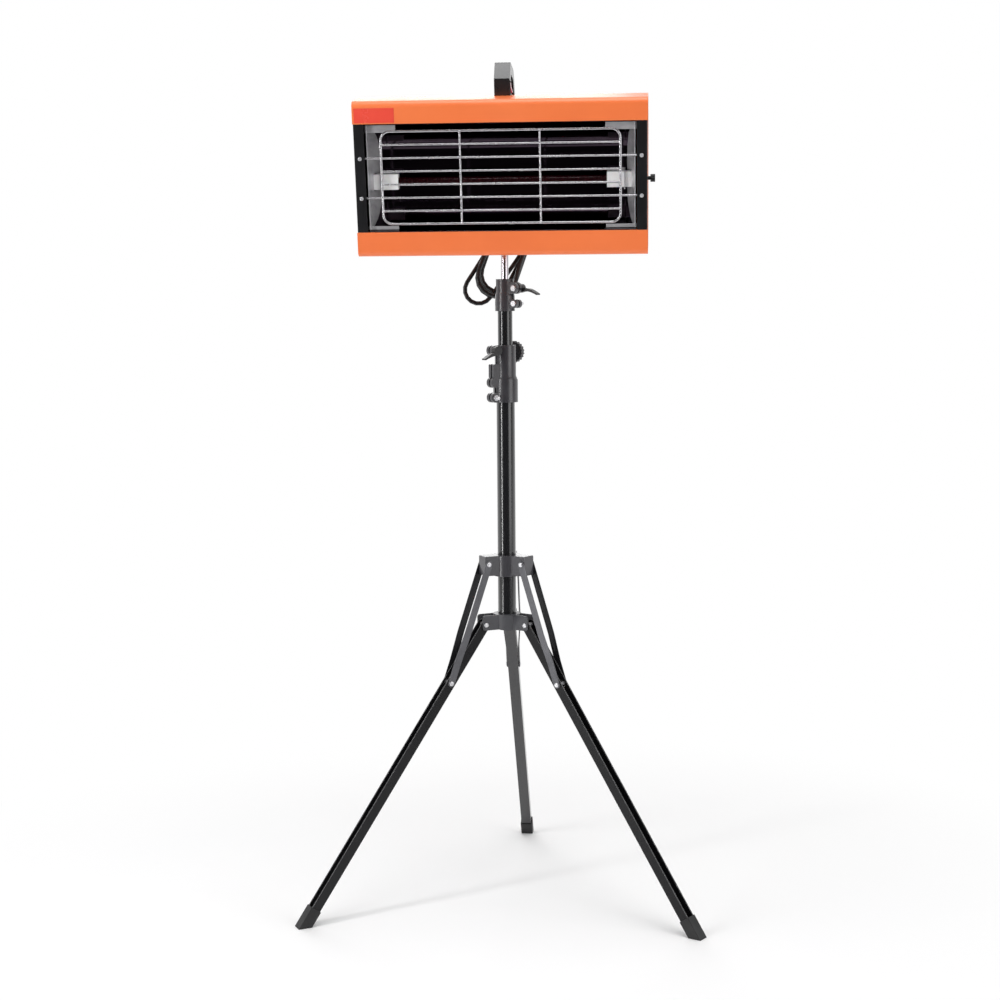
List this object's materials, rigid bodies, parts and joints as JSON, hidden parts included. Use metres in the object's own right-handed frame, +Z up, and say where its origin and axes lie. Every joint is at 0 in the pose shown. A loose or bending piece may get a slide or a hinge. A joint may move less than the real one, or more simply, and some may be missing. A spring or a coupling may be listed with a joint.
{
  "type": "paint drying lamp",
  "caption": "Shortwave infrared paint drying lamp: wide orange head with a wire guard over a quartz tube, tilting on a telescopic post with a folding tripod.",
  "frame": {"origin": "on the floor, under the axis of the post", "axes": "+Z up along the post, +Y from the lit side of the head towards its back, +X to the right as seen from the lit side"},
  "size_m": [0.5481, 0.5025, 1.1406],
  "materials": {
    "stand_tube": "satin black powder coat",
    "stand_strap": "satin dark grey coat",
    "stand_plastic": "fine-grained black moulding",
    "clamp": "satin dark grey moulding",
    "lever": "fine-grained black moulding",
    "foot": "matt rubber",
    "zinc": "bright zinc plate",
    "rod": "chrome plate",
    "orange_case": "fine textured orange powder coat",
    "end_cap": "fine-grained black moulding",
    "mirror_sheet": "polished trough with faint roll lines",
    "guard_wire": "chrome-plated wire",
    "quartz": "clear dark red quartz",
    "filament": "dull coil",
    "ceramic": "matt off-white",
    "sticker": "plain red gloss film",
    "handle": "fine-grained black moulding",
    "rocker_red": "gloss red",
    "cord": "smooth black sheath"
  },
  "bodies": {
    "stand": {"lower_tube": "stand_tube", "tube_plug": "stand_plastic", "hub": "stand_plastic", "hub_rivets": "zinc", "lower_clamp": "clamp", "lower_clamp_bolts": "zinc"},
    "collar": {"collar": "stand_plastic", "collar_rivets": "zinc"},
    "collar_screw": {"collar_screw": "lever"},
    "lower_lever": {"lower_lever": "lever"},
    "height_knob": {"height_knob": "lever"},
    "middle": {"mid_tube": "stand_tube", "mid_bush": "stand_plastic", "upper_clamp": "clamp", "upper_clamp_bolts": "zinc"},
    "upper_lever": {"upper_lever": "lever"},
    "rod": {"top_rod": "rod", "rod_bush": "stand_plastic"},
    "adapter": {"adapter": "clamp", "cord_hook": "zinc", "power_cord": "cord", "cord_hank": "cord", "plug": "cord", "plug_pins": "zinc"},
    "adapter_screw": {"adapter_screw": "lever"},
    "head": {"tilt_bracket": "stand_strap", "tilt_bolt": "zinc", "housing": "orange_case", "cap_left": "end_cap", "cap_right": "end_cap", "case_screws": "zinc", "label_plate": "sticker", "reflector": "mirror_sheet", "end_reflectors": "mirror_sheet", "guard": "guard_wire", "guard_screws": "zinc", "quartz_tube": "quartz", "filament": "filament", "ceramic_ends": "ceramic", "lamp_brackets": "mirror_sheet", "terminal_block": "ceramic", "cable_gland": "cord", "handle": "handle"},
    "tilt_knob": {"tilt_knob": "lever"},
    "side_screw": {"side_screw": "lever"},
    "rocker": {"rocker": "rocker_red"},
    "leg_1": {"leg_1": "stand_tube", "foot_1": "foot"},
    "brace_1": {"brace_1": "stand_strap", "brace_pin_1": "zinc"},
    "leg_2": {"leg_2": "stand_tube", "foot_2": "foot"},
    "brace_2": {"brace_2": "stand_strap", "brace_pin_2": "zinc"},
    "leg_3": {"leg_3": "stand_tube", "foot_3": "foot"},
    "brace_3": {"brace_3": "stand_strap", "brace_pin_3": "zinc"}
  },
  "joints": [
    {"name": "leg_1_fold", "type": "hinge", "parent": "stand", "child": "leg_1", "pos_m": [0.00359, 0.03532, 0.39], "axis": [-0.9949, 0.1011, 0], "range_deg": [0, 34.5]},
    {"name": "leg_2_fold", "type": "hinge", "parent": "stand", "child": "leg_2", "pos_m": [0.02879, -0.02077, 0.39], "axis": [0.585, 0.8111, 0], "range_deg": [0, 34.5]},
    {"name": "leg_3_fold", "type": "hinge", "parent": "stand", "child": "leg_3", "pos_m": [-0.03238, -0.01455, 0.39], "axis": [0.4099, -0.9121, 0], "range_deg": [0, 34.5]},
    {"name": "collar_slide", "type": "slide", "parent": "stand", "child": "collar", "axis": [0, 0, 1], "range_m": [-0.0083, 0]},
    {"name": "brace_1_fold", "type": "hinge", "parent": "collar", "child": "brace_1", "pos_m": [0.00323, 0.03184, 0.474], "axis": [-0.9949, 0.1011, 0], "range_deg": [0, 17.8]},
    {"name": "brace_2_fold", "type": "hinge", "parent": "collar", "child": "brace_2", "pos_m": [0.02595, -0.01872, 0.474], "axis": [0.585, 0.8111, 0], "range_deg": [0, 17.8]},
    {"name": "brace_3_fold", "type": "hinge", "parent": "collar", "child": "brace_3", "pos_m": [-0.02919, -0.01312, 0.474], "axis": [0.4099, -0.9121, 0], "range_deg": [0, 17.8]},
    {"name": "collar_lock", "type": "hinge", "parent": "collar", "child": "collar_screw", "pos_m": [0, 0, 0.471], "axis": [-0.8111, 0.585, 0], "range_deg": [0, 360]},
    {"name": "lower_lever_turn", "type": "hinge", "parent": "stand", "child": "lower_lever", "pos_m": [-0.01749, -0.01225, 0.7655], "axis": [-0.5736, 0.8192, 0], "range_deg": [0, 110]},
    {"name": "height_lock", "type": "hinge", "parent": "stand", "child": "height_knob", "pos_m": [0, 0, 0.7625], "axis": [0.4695, 0.8829, 0], "range_deg": [0, 360]},
    {"name": "middle_slide", "type": "slide", "parent": "stand", "child": "middle", "axis": [0, 0, 1], "range_m": [-0.044, 0.25]},
    {"name": "upper_lever_turn", "type": "hinge", "parent": "middle", "child": "upper_lever", "pos_m": [0.01511, -0.01058, 0.849], "axis": [-0.5736, -0.8192, 0], "range_deg": [0, 110]},
    {"name": "rod_slide", "type": "slide", "parent": "middle", "child": "rod", "axis": [0, 0, 1], "range_m": [-0.034, 0.25]},
    {"name": "swivel", "type": "hinge", "parent": "rod", "child": "adapter", "pos_m": [0, 0, 0.9185], "axis": [0, 0, 1], "range_deg": [-60, 150]},
    {"name": "adapter_lock", "type": "hinge", "parent": "adapter", "child": "adapter_screw", "pos_m": [0, 0, 0.9185], "axis": [-0.9962, 0.0872, 0], "range_deg": [0, 360]},
    {"name": "head_tilt", "type": "hinge", "parent": "adapter", "child": "head", "pos_m": [0, 0, 0.9575], "axis": [0.9962, -0.0872, 0], "range_deg": [-87, 23], "deforming": ["power_cord"]},
    {"name": "tilt_lock", "type": "hinge", "parent": "head", "child": "tilt_knob", "pos_m": [0, 0, 0.9575], "axis": [0.9962, -0.0872, 0], "range_deg": [0, 360]},
    {"name": "side_screw_turn", "type": "hinge", "parent": "head", "child": "side_screw", "pos_m": [0.18615, -0.09821, 0.98952], "axis": [0.9962, -0.0872, 0], "range_deg": [0, 360]},
    {"name": "rocker_press", "type": "hinge", "parent": "head", "child": "rocker", "pos_m": [0.00562, -0.08089, 1.10747], "axis": [0.0856, 0.9779, 0.1908], "range_deg": [0, 12]}
  ],
  "couplings": [
    {"joint": "leg_2_fold", "follows": "leg_1_fold", "ratio": 1},
    {"joint": "leg_3_fold", "follows": "leg_1_fold", "ratio": 1},
    {"joint": "collar_slide", "follows": "leg_1_fold", "m_per_rad": -0.013769},
    {"joint": "brace_1_fold", "follows": "leg_1_fold", "ratio": 0.51531},
    {"joint": "brace_2_fold", "follows": "leg_1_fold", "ratio": 0.51531},
    {"joint": "brace_3_fold", "follows": "leg_1_fold", "ratio": 0.51531}
  ]
}
